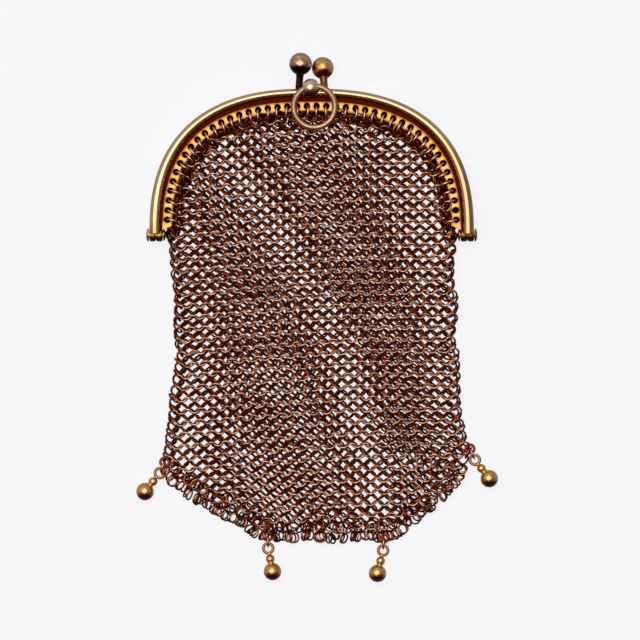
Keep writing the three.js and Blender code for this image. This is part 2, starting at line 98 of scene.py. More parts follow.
def metal_piece(name, nets, metal, body="purse", weld=True, corner_angle=None, wear_and_painted_light=None):
    """Joins nets of points, in millimetres, into one smooth closed piece that rides on its body.
    A net is (points [copy, along, around, xyz], loops along, loops around). Touching nets are welded, and
    faces turned outwards; unwelded faces are turned by the sign of the volume they enclose. The last
    argument gives each point's wear and painted light, from 0 to 1."""
    points, quads, count = [], [], 0
    for net, loop_along, loop_around in nets:
        net = net.reshape(-1, *net.shape[-3:])
        quads.append(quad_net(*net.shape[:3], loop_along, loop_around) + count)
        points.append(net.reshape(-1, 3))
        count += len(points[-1])
    points = np.concatenate(points) * 0.001
    quads = np.concatenate(quads)
    mesh = bpy.data.meshes.new(name)
    mesh.from_pydata(points, [], quads)
    if wear_and_painted_light is not None:
        painted_light_and_wear = mesh.attributes.new("wear_and_painted_light", "FLOAT", "POINT")
        painted_light_and_wear.data.foreach_set("value", np.asarray(wear_and_painted_light, np.float32))
    if weld:
        welded = bmesh.new()
        welded.from_mesh(mesh)
        bmesh.ops.remove_doubles(welded, verts=welded.verts, dist=2e-6)
        bmesh.ops.recalc_face_normals(welded, faces=welded.faces)
        welded.to_mesh(mesh)
        welded.free()
    else:
        a, b, c, d = (points[quads[:, k]] for k in range(4))
        volume = (np.cross(b, c) * a).sum() + (np.cross(c, d) * a).sum()
        if volume < 0:
            mesh.flip_normals()
    mesh.polygons.foreach_set("use_smooth", np.ones(len(mesh.polygons), bool))
    if corner_angle:
        mesh.set_sharp_from_angle(angle=np.radians(corner_angle))
    piece = bpy.data.objects.new(name, mesh)
    bpy.context.scene.collection.objects.link(piece)
    mesh.materials.append(metal)
    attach(piece, body)
    return piece


def capped(net):
    """Closes both ends of a net with a fan: its first and last rings shrunk to their middles."""
    middle = net.mean(axis=-2, keepdims=True).repeat(net.shape[-2], axis=-2)
    return np.concatenate([middle[..., :1, :, :], net, middle[..., -1:, :, :]], axis=-3)


def ranged(tree, value, out_of, into):
    """Carries a value of a node tree from one range into another, and holds it at both ends."""
    node = tree.nodes.new("ShaderNodeMapRange")
    for socket, number in zip(("From Min", "From Max", "To Min", "To Max"), (*out_of, *into)):
        node.inputs[socket].default_value = number
    tree.links.new(value, node.inputs["Value"])
    return node.outputs["Result"]


def toned(tree, value, stops):
    """Colours a value of a node tree by a ramp of stops, each a place on the ramp and its colour."""
    node = tree.nodes.new("ShaderNodeValToRGB")
    ramp = node.color_ramp.elements
    ramp[0].position, ramp[1].position = stops[0][0], stops[-1][0]
    ramp[0].color, ramp[1].color = (*stops[0][1], 1), (*stops[-1][1], 1)
    for place, colour in stops[1:-1]:
        ramp.new(place).color = (*colour, 1)
    tree.links.new(value, node.inputs["Fac"])
    return node.outputs["Color"]


def worn_metal(name, bright, dull, patch, roughness, scratch=0.0, light_and_wear_tones=None):
    """Handled metal. The colour drifts from bright to dull with cloudy noise a patch (mm) wide, and the
    roughness with it; a finer noise is the bump of light scratches. The wear tones are colours, from
    painted shade to painted highlight, that the piece's attribute of wear and painted light runs through."""
    metal = bpy.data.materials.new(name)
    metal.use_nodes = True
    tree, nodes, links = metal.node_tree, metal.node_tree.nodes, metal.node_tree.links
    shader = nodes["Principled BSDF"]
    shader.inputs["Metallic"].default_value = 1.0
    place = nodes.new("ShaderNodeTexCoord")
    cloud = nodes.new("ShaderNodeTexNoise")
    cloud.inputs["Scale"].default_value = 1000 / patch
    cloud.inputs["Detail"].default_value = 5.0
    cloud.inputs["Roughness"].default_value = 0.62
    links.new(place.outputs["Object"], cloud.inputs["Vector"])
    colour = toned(tree, cloud.outputs["Fac"], ((0.36, bright), (0.66, dull)))
    if light_and_wear_tones:
        painted_light_and_wear = nodes.new("ShaderNodeAttribute")
        painted_light_and_wear.attribute_name = "wear_and_painted_light"
        stops = [(number / (len(light_and_wear_tones) - 1), tone) for number, tone in enumerate(light_and_wear_tones)]
        blend = nodes.new("ShaderNodeMix")
        blend.data_type = "RGBA"
        blend.blend_type = "MULTIPLY"
        blend.inputs["Factor"].default_value = 1.0
        links.new(colour, blend.inputs["A"])
        links.new(toned(tree, painted_light_and_wear.outputs["Fac"], stops), blend.inputs["B"])
        colour = blend.outputs["Result"]
    links.new(colour, shader.inputs["Base Color"])
    gloss = ranged(tree, cloud.outputs["Fac"], (0.3, 0.7), (roughness * 0.75, roughness * 1.4))
    links.new(gloss, shader.inputs["Roughness"])
    if scratch:
        hairs = nodes.new("ShaderNodeTexNoise")
        hairs.inputs["Scale"].default_value = 2600.0
        hairs.inputs["Detail"].default_value = 3.0
        links.new(place.outputs["Object"], hairs.inputs["Vector"])
        bump = nodes.new("ShaderNodeBump")
        bump.inputs["Strength"].default_value = scratch
        bump.inputs["Distance"].default_value = 0.0001
        links.new(hairs.outputs["Fac"], bump.inputs["Height"])
        links.new(bump.outputs["Normal"], shader.inputs["Normal"])
    return metal


def smooth_step(x):
    """Eases from 0 to 1 as x does: 3 x squared less 2 x cubed."""
    x = np.clip(x, 0, 1)
    return x * x * (3 - 2 * x)


def tube_width(share):
    """Width of the tube at a share of the bow. It narrows to the top as the square of the sine."""
    taper = np.sin(np.pi * share) ** 2
    return tube_width_at_hinge + (tube_width_at_top - tube_width_at_hinge) * taper


def at_height(line, height, front):
    """Lifts plan points to a height of the front bow, or to the same depth in the back one."""
    level = np.broadcast_to(height if front else frame_thickness - height, line.shape[:-1])
    return np.concatenate([line, level[..., None]], -1)


def half_round_tube(front):
    """Tube of the front or back bow. Its section has upright sides and a half-ellipse crest, over which v
    runs from the outer side to the inner: inset = width (1 - cos v) / 2, height = shoulder + rise sin v.
    Each line along it starts where the hinge's round barrel lets it. Its painted light runs from 1 on the
    outer side to a half on the inner, with a painted highlight on the crest between, but from 0, darker, at
    its left end and down its right side, the right side being painted shade."""
    foot = middle_height + parting_slit / 2
    shoulder = frame_thickness - crest_rise
    turn = np.linspace(0, np.pi, 31)
    across = np.concatenate([[0, 0], (1 - np.cos(turn)) / 2, [1, 1]])
    sides = np.linspace(foot, shoulder, 3)[:2]
    height = np.concatenate([sides, shoulder + crest_rise * np.sin(turn).clip(0), sides[::-1]])
    room = barrel_radius + barrel_clearance
    seat = np.sqrt((room ** 2 - (height - middle_height) ** 2).clip(0))
    first = share_above(0, np.maximum(seat, tube_end_above_hinge))
    along = np.linspace(0, 1, 241)[:, None]
    share = first + along * (1 - 2 * first)
    line = bow_line(share, tube_width(share) * across)[0]
    dull_left = smooth_step((dull_left_until - share) / dull_left_until)
    dull = smooth_step((share - dull_right_from) / dull_right_over) + dull_left
    painted_light_and_wear = 0.5 + (0.5 - 0.5 * across) * (1 - 2 * dull)
    return capped(at_height(line, height, front)), painted_light_and_wear


# The tones paint the tube's light: a cream highlight on the crest, a duller taupe outer edge and darker
# sides.
gold = worn_metal("burnished gold", (0.90, 0.61, 0.35), (0.80, 0.50, 0.26), 11.0, 0.16, 0.02,
                  light_and_wear_tones=((0.52, 0.46, 0.46), (0.72, 0.63, 0.58), (0.92, 0.83, 0.64), (1.0, 1.0, 1.0),
                              (0.78, 0.76, 0.80)))
both_sides = (("front", True), ("back", False))
for side, front in both_sides:
    net, painted_light_and_wear = half_round_tube(front)
    tube = metal_piece(f"{side}_bow_tube", [(net, False, True)], gold, corner_angle=50,
                       wear_and_painted_light=np.pad(painted_light_and_wear, ((1, 1), (0, 0)), mode="edge").ravel())
    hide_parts(f"{side}_bow")

# The pierced flanges and the grooves beside them
# Inside each tube a thin web is soldered, and on it a flat gold strip with a row of drilled holes that
# the mesh is sewn to. The groove between is painted nearly black, tarnish together with painted shade in the
# recess.
groove_at_hinge = 0.4
flange_width = 1.9
flange_thickness = 0.4
flange_sink = 1.1
hole_radius = 0.62
hole_pitch = 1.93
first_hole_above_hinge = 3.0
hole_share_of_flange = 0.47
rim_bevel_depth = 0.08
rim_bevel_width = 0.06
tab_clearance = 0.12
tab_slant = 0.45
groove_overlap = 0.15
groove_thickness = 0.4
# Painted shade: the strip is darker round the holes' rims, towards its long edges and on its walls.
painted_light_at_rim = 0.15
painted_shade_at_edge = 0.75
painted_light_on_wall = 0.25
wear_on_tab = 0.8
flange_outer = tube_width_at_hinge + groove_at_hinge
flange_inner = flange_outer + flange_width
hole_inset = flange_outer + hole_share_of_flange * flange_width
flange_face = frame_thickness - flange_sink
flange_back = flange_face - flange_thickness


def even_shares(inset, first_above, step):
    """Shares of the bow that lie in even steps of length, near the step asked for, along its line at an
    inset, from one height above the hinge round to the same height on the other side."""
    first = share_above(inset, first_above)
    shares = np.linspace(first, 1 - first, 3001)
    line = bow_line(shares, inset)[0]
    run = np.concatenate([[0], np.hypot(*np.diff(line, axis=0).T).cumsum()])
    return np.interp(np.linspace(0, 1, round(run[-1] / step) + 1), run / run[-1], shares)


def hole_shares():
    """Shares of the bow at the holes, and at the cells' edges half a pitch either side of them."""
    centres = even_shares(hole_inset, first_hole_above_hinge, hole_pitch)
    between = (centres[1:] + centres[:-1]) / 2
    edges = np.concatenate([[2 * centres[0] - between[0]], between, [2 * centres[-1] - between[-1]]])
    return centres, edges


def flange_nets(front):
    """Each hole's cell joins a round hole to a square of the strip, at the same angle round the hole. Walls
    close the two long sides, and a short tab each end. The painted light is brightest halfway between two
    holes and falls off as painted shade to the holes' rims and, as the fourth power, to the strip's long
    edges."""
    centres, edges = hole_shares()
    angle = np.radians(np.arange(0, 360, 15))
    square = np.stack([np.cos(angle), np.sin(angle)], -1)
    square /= np.abs(square).max(-1, keepdims=True)
    middle, half = (edges[1:] + edges[:-1]) / 2, (edges[1:] - edges[:-1]) / 2
    share = middle[:, None] + half[:, None] * square[:, 0]
    inset = (flange_outer + flange_inner) / 2 + flange_width / 2 * square[:, 1]
    border = bow_line(share, inset)[0]
    centre, inward = bow_line(centres, hole_inset)
    sideways = np.stack([inward[:, 1], -inward[:, 0]], -1)
    spoke = square / np.hypot(*square.T)[:, None]
    round_edge = spoke[:, 0, None] * sideways[:, None] + spoke[:, 1, None] * inward[:, None]

    def ring(radius, height):
        """The round edge at a radius from each hole's middle."""
        return at_height(centre[:, None] + radius * round_edge, height, front)

    cells = np.stack([
        at_height(border, flange_back, front),
        ring(hole_radius, flange_back),
        ring(hole_radius, flange_face - rim_bevel_depth),
        ring(hole_radius + rim_bevel_width, flange_face),
        at_height(border, flange_face, front),
    ], 1)
    nets = [(cells, False, True)]
    painted_light_between_holes = 1 - painted_shade_at_edge * square[:, 1] ** 4
    rim = np.full(len(angle), painted_light_at_rim)
    painted_light_and_wear = [np.tile(np.stack([rim, rim, rim, rim, painted_light_between_holes]).ravel(), len(centres))]
    side = np.tan(np.radians(np.arange(-45, 46, 15)))
    share = np.append((middle[:, None] + half[:, None] * side[:-1]).ravel(), edges[-1])
    for inset in (flange_outer, flange_inner):
        line = bow_line(share, inset)[0]
        nets.append((np.stack([at_height(line, flange_back, front), at_height(line, flange_face, front)]),
                     False, False))
        painted_light_and_wear.append(np.full(nets[-1][0].size // 3, painted_light_on_wall))
    inset = (flange_outer + flange_inner) / 2 + flange_width / 2 * side
    tip_above = barrel_radius + tab_clearance + tab_slant * side
    for start, mirror in ((edges[0], False), (edges[-1], True)):
        tip = np.array([share_above(i, a) for i, a in zip(inset, tip_above)])
        tip = 1 - tip if mirror else tip
        stations = [bow_line(start + (tip - start) * step, inset)[0] for step in (0, 0.5, 1)]
        faces = [[at_height(line, level, front) for level in (flange_face, flange_back)] for line in stations]
        tab = [np.concatenate([face, back[::-1]]) for face, back in faces]
        tab.append(np.broadcast_to(tab[-1].mean(0), tab[-1].shape))
        nets.append((np.stack(tab), False, True))
        painted_light_and_wear.append(np.full(nets[-1][0].size // 3, wear_on_tab))
    return nets, np.concatenate(painted_light_and_wear)


def groove_floor(front):
    """Flat band from inside the tube to just under the flange, one rectangle carried along the bow."""
    first = share_above(0, tube_end_above_hinge)
    share = np.linspace(first, 1 - first, 201)[:, None]
    width = tube_width(share)
    inset = np.concatenate([width - groove_overlap, 0 * width + flange_outer + groove_overlap], 1)
    line = bow_line(share, inset[:, [0, 1, 1, 0]])[0]
    return at_height(line, flange_back - groove_thickness * np.array([0, 0, 1, 1]), front)


yellow_gold = worn_metal("yellow gold strip", (1.0, 0.96, 0.85), (0.92, 0.78, 0.60), 2.2, 0.3, 0.08,
                         light_and_wear_tones=((0.22, 0.06, 0.008), (0.44, 0.21, 0.05), (0.66, 0.44, 0.15)))
# Near-black groove colour: tarnish together with painted shade in the recess.
groove_tarnish_and_shade = worn_metal("groove tarnish and painted shade", (0.038, 0.002, 0.001), (0.075, 0.009, 0.002), 6.0, 0.42)
for side, front in both_sides:
    nets, wear_and_painted_light = flange_nets(front)
    metal_piece(f"{side}_flange", nets, yellow_gold, corner_angle=40, wear_and_painted_light=wear_and_painted_light)
    metal_piece(f"{side}_groove", [(capped(groove_floor(front)), False, True)], groove_tarnish_and_shade,
                corner_angle=40)

# The hinges
# Two turned knuckles at each end, one soldered to each bow, on a pin riveted over into a dome outside
# and a low head inside. They are painted bright on the clasp's side and dark on the bag's, a painted
# reflection of the room's bright far side and dark near side.
knuckle_width = 1.1
knuckle_gap = 0.25
knuckle_bevel = 0.1
collar_reach = 0.12
collar_step = 0.28
first_knuckle_inset = 0.05
pin_radius = 0.5
outer_head_length = 0.5
inner_head_length = 0.45
inner_head_radius = 0.9 * barrel_radius


def unit(directions):
    """Directions made 1 long."""
    return directions / np.linalg.norm(directions, axis=-1, keepdims=True)


def turned(profile, start, direction, around=32):
    """Turns a profile of (radius, distance) round an axis: start + distance along + radius outwards."""
    direction = unit(np.asarray(direction, float))
    helper = np.array([0.0, 0, 1]) if abs(direction[2]) < 0.9 else np.array([1.0, 0, 0])
    first = unit(np.cross(helper, direction))
    second = np.cross(direction, first)
    turn = np.linspace(0, 2 * np.pi, around, endpoint=False)
    outwards = np.cos(turn)[:, None] * first + np.sin(turn)[:, None] * second
    radius, distance = np.asarray(profile, float).T
    return np.asarray(start) + distance[:, None, None] * direction + radius[:, None, None] * outwards


def knuckle(end, from_inset):
    """A turned ring with a small bevel at both rims, a low collar beyond each and the pin's hole through."""
    rim, bevel, collar = barrel_radius, knuckle_bevel, barrel_radius - collar_step
    half = [(pin_radius, -collar_reach), (collar, -collar_reach), (collar, 0), (rim - bevel, 0), (rim, bevel)]
    profile = half + [(radius, knuckle_width - distance) for radius, distance in half[::-1]]
    start = (end * (frame_half_width - from_inset), hinge_y, middle_height)
    return turned(profile, start, (-end, 0, 0)), True, True


def rivet(end):
    """Pin with a domed head outside the knuckles and a lower one inside. Each head is a quarter ellipse on
    a short upright foot, a quarter of the outer head's length and three tenths of the inner's."""
    dome = np.linspace(0, np.pi / 2, 9)
    outer = first_knuckle_inset - knuckle_gap
    inner = first_knuckle_inset + 2 * knuckle_width + 2 * knuckle_gap
    head = [(barrel_radius * np.sin(t), outer - outer_head_length * (0.25 + 0.75 * np.cos(t)))
            for t in dome]
    low = [(inner_head_radius * np.cos(t), inner + inner_head_length * (0.3 + 0.7 * np.sin(t)))
           for t in dome]
    profile = [*head, (barrel_radius, outer), (pin_radius, outer), (pin_radius, inner),
               (inner_head_radius, inner), *low]
    return turned(profile, (end * frame_half_width, hinge_y, middle_height), (-end, 0, 0)), False, True


def painted_light_by_y(points, middle_y, radius, dark, bright):
    """Painted light by a point's y from the middle, in radii: none under the dark level, full over the
    bright. It paints the dark reflection of the room's near side.
    """
    return smooth_step(((points[..., 1] - middle_y) / radius - dark) / (bright - dark)).ravel()


def hinge_painted_light(net, end):
    """Painted reflection: the left hinge's painted light is full on the clasp's side, and the right one's is
    about two thirds.
    """
    return (0.82 - 0.18 * end) * painted_light_by_y(net, hinge_y, barrel_radius, dark=-0.75, bright=0.35)


hinge_gold = worn_metal("hinge gold with painted reflection", (0.84, 0.55, 0.19), (0.50, 0.21, 0.07), 1.6, 0.3, 0.1,
                        light_and_wear_tones=((0.13, 0.035, 0.02), (0.60, 0.40, 0.30), (1.0, 1.0, 1.0)))
second_knuckle_inset = first_knuckle_inset + knuckle_width + knuckle_gap
for side, own in (("front", first_knuckle_inset), ("back", second_knuckle_inset)):
    knuckles = [knuckle(end, own) for end in (-1, 1)]
    painted_light_and_wear = [hinge_painted_light(net[0], end) for net, end in zip(knuckles, (-1, 1))]
    metal_piece(f"{side}_knuckles", knuckles, hinge_gold, corner_angle=50,
                wear_and_painted_light=np.concatenate(painted_light_and_wear))
for hand, end in (("left", -1), ("right", 1)):
    net = rivet(end)
    pin = metal_piece(f"hinge_rivet_{hand}", [net], hinge_gold, corner_angle=50,
                      wear_and_painted_light=hinge_painted_light(net[0], end))
    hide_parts(f"hinge_pin_{hand}")

# The kiss clasp
# A hollow ball on a leaning stem from each bow; pushed past each other, they hold the purse shut.
# The left one has lost its gilding to a pinkish taupe. Both balls are painted dark round the neck as a
# reflection, and the stems are painted dark as shade.
bow_top = hinge_y + frame_rise
# The level below which each ball is painted as a dark reflection of the room's near side.
back_ball = dict(radius=2.25, centre=(-2.21, bow_top + 4.96, 3.5), root=(-2.61, bow_top - 0.8, 1.0),
                 dark_reflection_level=-0.04)
front_ball = dict(radius=2.2, centre=(2.21, bow_top + 4.2, 2.3), root=(2.61, bow_top - 0.8, 4.0),
                  dark_reflection_level=-0.62)
stem_radius = 0.73
root_flare = 0.12
neck_flare = 0.1
stem_in_ball = 0.3
dark_reflection_wave = 0.13
dark_reflection_edge = 0.22


def clasp_parts(ball):
    """The stem runs from its root into the ball with a small flare at both ends. The ball is a half
    circle of radius against distance, from the axis to the axis. Its painted light goes from none round the
    neck, a painted dark reflection, to full over a narrow band, whose height waves three times round the
    ball."""
    root, centre = np.array(ball["root"]), np.array(ball["centre"])
    length = np.linalg.norm(centre - root)
    neck = length - ball["radius"]
    stem = [(0, 0), (stem_radius + root_flare, 0), (stem_radius, 0.7), (stem_radius, neck - 0.5),
            (stem_radius + neck_flare, neck), (stem_radius + neck_flare, neck + stem_in_ball),
            (0, neck + stem_in_ball)]
    turn = np.linspace(0, np.pi, 41)
    round_ball = np.stack([ball["radius"] * np.sin(turn), length - ball["radius"] * np.cos(turn)], -1)
    round_ball = turned(round_ball, root, centre - root, 56)
    above = (round_ball - centre) @ (centre - root) / (length * ball["radius"])
    wave = dark_reflection_wave * np.sin(3 * np.linspace(0, 2 * np.pi, 56, endpoint=False))
    painted_light_and_wear = ((above + wave - ball["dark_reflection_level"]) / dark_reflection_edge).clip(0, 1)
    return turned(stem, root, centre - root), round_ball, painted_light_and_wear.ravel()


taupe = worn_metal("worn taupe ball", (0.90, 0.58, 0.40), (0.34, 0.18, 0.12), 0.8, 0.2, 0.12,
                   light_and_wear_tones=((0.03, 0.008, 0.004), (0.40, 0.34, 0.30), (1.0, 1.0, 1.0)))
ball_gold = worn_metal("mottled ball gold", (0.98, 0.62, 0.27), (0.56, 0.25, 0.07), 0.8, 0.28, 0.15,
                       light_and_wear_tones=((0.16, 0.03, 0.01), (0.60, 0.40, 0.25), (1.0, 1.0, 1.0)))
# The stems' dark colours are painted shade by and behind the tube.
back_stem_painted_shade = worn_metal("back stem in painted shade", (0.09, 0.030, 0.022), (0.05, 0.012, 0.008), 2.0, 0.3)
front_stem_painted_shade = worn_metal("front stem in painted shade", (0.30, 0.14, 0.035), (0.16, 0.06, 0.015), 2.0, 0.3)
for side, ball, finish, stem_painted_shade in (("back", back_ball, taupe, back_stem_painted_shade),
                                        ("front", front_ball, ball_gold, front_stem_painted_shade)):
    stem, round_ball, wear_and_painted_light = clasp_parts(ball)
    metal_piece(f"{side}_clasp_stem", [(stem, False, True)], stem_painted_shade, corner_angle=60)
    metal_piece(f"{side}_clasp_ball", [(round_ball, False, True)], finish, wear_and_painted_light=wear_and_painted_light)

# The eye and the carry ring
# A drilled ball is soldered on the crest of the front bow, and a plain wire ring hangs through it,
# flat on the mesh and turned a little to the right.
eye_radius = 1.75
eye_centre = np.array([-0.2, bow_top + 0.12, 6.0])
ring_radius = 4.13
ring_wire = 0.60
ring_turn = np.radians(11)
ring_play = 0.15
ring_over_mesh = 0.1
mouth_half_depth = 0.55
lowest_wire = 0.02
bag_mouth_top = (flange_face + flange_back) / 2 + mouth_half_depth
ring_bow = ring_radius - np.sqrt(ring_radius ** 2 - eye_radius ** 2)
eye_bore = ring_wire + ring_bow / 2 + ring_play


def wire_rings(centre, first, second, radius, wire, around, sides):
    """Closed wire rings: centre + (radius + wire cos v)(cos u first + sin u second) + wire sin v normal,
    the normal being first x second. Sizes may be single or one a ring. A ring that would dip under the
    table is lifted on to it."""
    centre, first, second = (np.atleast_2d(np.asarray(a, float))[:, None, None]
                             for a in (centre, first, second))
    radius, wire = (np.reshape(np.asarray(a, float), (-1, 1, 1, 1)) for a in (radius, wire))
    u = np.linspace(0, 2 * np.pi, around, endpoint=False)[None, :, None, None]
    v = np.linspace(0, 2 * np.pi, sides, endpoint=False)[None, None, :, None]
    spoke = np.cos(u) * first + np.sin(u) * second
    points = centre + (radius + wire * np.cos(v)) * spoke + wire * np.sin(v) * np.cross(first, second)
    lift = (lowest_wire - points[..., 2].min(axis=(1, 2))).clip(0)
    points[..., 2] += lift[:, None, None]
    return points


ring_across = np.array([np.cos(ring_turn), np.sin(ring_turn), 0])
fall = (eye_centre[2] - bag_mouth_top - ring_over_mesh - ring_wire) / (2 * ring_radius - ring_bow / 2)
ring_tilt = np.arcsin(fall)
ring_up = np.array([-np.sin(ring_turn) * np.cos(ring_tilt), np.cos(ring_turn) * np.cos(ring_tilt), fall])
ring_centre = eye_centre + (ring_bow / 2 - ring_radius) * ring_up
rose_gold = worn_metal("rose gold ring", (0.66, 0.40, 0.26), (0.50, 0.28, 0.16), 4.0, 0.31, 0.06)
ring_net = wire_rings(ring_centre, ring_across, ring_up, ring_radius, ring_wire, 120, 24)
carry_ring = metal_piece("carry_ring_wire", [(ring_net, True, True)], rose_gold,
                         body="carry_ring")
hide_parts("carry_ring")

lip = np.arcsin(eye_bore / eye_radius)
turn = np.linspace(lip, np.pi - lip, 33)
eye_ball = np.stack([eye_radius * np.sin(turn), -eye_radius * np.cos(turn)], -1)
bore = np.stack([np.full(9, eye_bore), np.linspace(1, -1, 9) * eye_radius * np.cos(lip)], -1)[1:-1]
eye_net = turned(np.concatenate([eye_ball, bore]), eye_centre, -ring_across, 48)
eye_gold = worn_metal("champagne eye", (1.0, 0.74, 0.58), (0.74, 0.48, 0.34), 1.2, 0.26, 0.05,
                      light_and_wear_tones=((0.14, 0.04, 0.025), (0.60, 0.42, 0.34), (1.0, 1.0, 1.0)))
# Painted reflection: the eye ball is painted dark on its lower side and bright above.
metal_piece("eye_ball", [(eye_net, True, True)], eye_gold, corner_angle=50,
            wear_and_painted_light=painted_light_by_y(eye_net, eye_centre[1], eye_radius, dark=-0.75, bright=-0.20))

# The ring mesh
# The bag is knitted by hand of thousands of small rose-brown wire rings, each through four others, in
# rows that lean up and down by turns. Front and back lie slack on each other, their rows drifting in and
# out of step, so the table shows through in bands. The raised crests are painted with pink highlights, and
# the low arcs with painted shade.
bag_half_width = 28.9
bag_length = 60.0
mesh_columns = 22
mesh_pitch = 2 * bag_half_width / mesh_columns
row_spacing = 1.17
mesh_ring_radius = 1.15
mesh_wire = 0.215
mesh_lean = np.radians(27)
mesh_roll = np.radians(5)
edge_roll = np.radians(18)
side_margin = 0.6
foot_margin = 1.9
mouth_margin = 0.3
far_off = 99
ring_steps = 12
wire_sides = 5
side_down = [-0.60, 0.023, 0.083, 0.163, 0.223, 0.283, 0.343, 0.403, 0.483, 0.563, 0.623, 0.683, 0.723, 0.760]
side_left = [1.03, 1.001, 0.988, 0.974, 0.953, 0.960, 0.960, 0.939, 0.967, 0.994, 0.994, 1.022, 1.029, 1.037]
side_right = [1.03, 1.012, 0.985, 0.992, 1.019, 1.012, 0.992, 1.026, 1.033, 1.033, 1.054, 1.082, 1.120, 1.080]
foot_across = [-1.036, -0.974, -0.870, -0.738, -0.607, -0.486, -0.420, -0.344, 0.507, 0.600, 0.687, 0.839,
               0.936, 1.019, 1.080]
foot_down = [0.777, 0.823, 0.863, 0.903, 0.943, 0.965, 0.985, 1.013, 1.013, 0.997, 0.965, 0.903,
             0.863, 0.823, 0.757]
foot_slant = 0.83
flange_middle = (flange_face + flange_back) / 2
mouth_inset = flange_inner + 0.3
mouth_blend = 14.0
lip_height = 1.35
ripple_height = 0.12
front_level, back_level = 2.34, 0.77
front_edge_level, back_edge_level = 1.95, 0.80
row_offset = 0.35
row_slope = 0.043
row_bend_x = 8
row_sway = 0.35
band_reach = 0.88
band_bunching = 0.11
back_wander = 0.14
band_least_span = 16.0
band_up = [-44, -28, -16, -4, 4, 14, 24, 34]
band_across = [16.5, 13, 8.7, 6.5, 1.2, -5.5, -12.5, -19.3]


def side_edges(y):
    """Left and right edge of the bag at a height y, from shares of its length and half width."""
    down = (hinge_y - y) / bag_length
    left = -bag_half_width * np.interp(down, side_down, side_left)
    right = bag_half_width * np.interp(down, side_down, side_right)
    return left, right


def foot_edge(x):
    """Lower edge of the bag at a place x across it."""
    return hinge_y - bag_length * np.interp(x / bag_half_width, foot_across, foot_down)


def bow_inset(points):
    """How far plan points lie inside the bow's outer edge: the distance to the nearest of many of its points,
    and minus that outside it."""
    outline = bow_line(np.linspace(0, 1, 500), 0)[0]
    distance = np.sqrt(((points[:, None] - outline[None]) ** 2).sum(-1)).min(1)
    shape = np.abs(points[:, 0] / frame_half_width) ** bow_squareness
    shape = shape + ((points[:, 1] - hinge_y).clip(0) / frame_rise) ** bow_squareness
    return np.where(shape < 1, distance, -distance)


def edge_distance(points):
    """Distance in from the bag's closed edge, at the nearer side, and at the foot, where the height over
    the edge is shortened for its slant."""
    left, right = side_edges(points[:, 1])
    below = (points[:, 1] - foot_edge(points[:, 0])) * foot_slant
    return np.minimum(points[:, 0] - left, right - points[:, 0]), below


def layer_height(points, front):
    """Height of a layer's middle: the front lies on the back, both rise to their flange over the mouth,
    and both draw in towards the lip's height at the edge. Slow sine waves ripple the front."""
    mouth = 1 - smooth_step((bow_inset(points) - mouth_inset) / mouth_blend)
    mouth = np.where(points[:, 1] > hinge_y - mouth_blend, mouth, 0)
    inside = smooth_step(np.minimum(*edge_distance(points)) / 3.5)
    inside = np.maximum(inside, smooth_step((points[:, 1] - hinge_y) / 2))
    flat, closed = (front_level, front_edge_level) if front else (back_level, back_edge_level)
    raised = flange_middle if front else frame_thickness - flange_middle
    wave = np.sin(2 * np.pi * (points[:, 0] + 6.5) / 39) * np.sin(2 * np.pi * points[:, 1] / 57)
    wave = wave + 0.5 * np.sin(2 * np.pi * points[:, 1] / 21)
    ripple = (ripple_height if front else 0.0) * wave * inside * (1 - mouth)
    return closed + (flat - closed) * inside + (raised - flat) * mouth * inside + ripple


def knitted_rows(front):
    """Centres of one layer's rings, whether their row is odd, and whether they stand on a fold. Odd rows
    have a ring on each fold and even rows lie half a pitch inside it. The columns share out the width, and
    the rows rise to the right as far as their bend and run level beyond it. The back layer slips against
    the front along one diagonal of the weave: by a whole step from the middle open band almost to each
    fold, less quickly halfway, where it also wanders a little along the other diagonal."""
    columns, rows = np.meshgrid(np.arange(mesh_columns + 1), np.arange(-42, 44), indexing="ij")
    columns, rows = columns.ravel(), rows.ravel()
    odd = rows % 2 == 1
    share = (columns + np.where(odd, 0, 0.5)) / mesh_columns
    level = rows * row_spacing
    left, right = side_edges(level)
    x = left + share * (right - left)
    y = level + row_offset + row_slope * ((x - row_bend_x) - np.sqrt((x - row_bend_x) ** 2 + 60))
    left, right = side_edges(y)
    x = left + share * (right - left) + row_sway * np.sin(y / 11.0) * np.sin(np.pi * share)
    if not front:
        from_band = np.interp(y, band_up, band_across) - x
        span = band_reach * np.where(from_band > 0, from_band + x - left, right - x - from_band)
        bands = from_band / np.maximum(span, band_least_span)
        slip = bands + band_bunching * np.sin(2 * np.pi * bands)
        wander = back_wander * np.sin(x / 5.3 + y / 8.1) * (1 - np.cos(2 * np.pi * slip))
        x = x + mesh_pitch / 2 * (slip + wander)
        y = y + row_spacing * (slip - wander)
    on_fold = odd & ((columns == 0) | (columns == mesh_columns))
    inside = (share < 1) | on_fold
    return np.stack([x, y], -1)[inside], odd[inside], on_fold[inside]


def leaning_rings(lean, roll, yaw):
    """Directions in each ring's plane: along its row, tilted by the roll, and up the bag, tilted by the lean
    and squared to the first. The yaw turns both."""
    first = np.stack([np.cos(yaw) * np.cos(roll), np.sin(yaw) * np.cos(roll), np.sin(roll)], -1)
    second = np.stack([-np.sin(yaw) * np.cos(lean), np.cos(yaw) * np.cos(lean), np.sin(lean)], -1)
    return first, unit(second - (first * second).sum(-1, keepdims=True) * first)


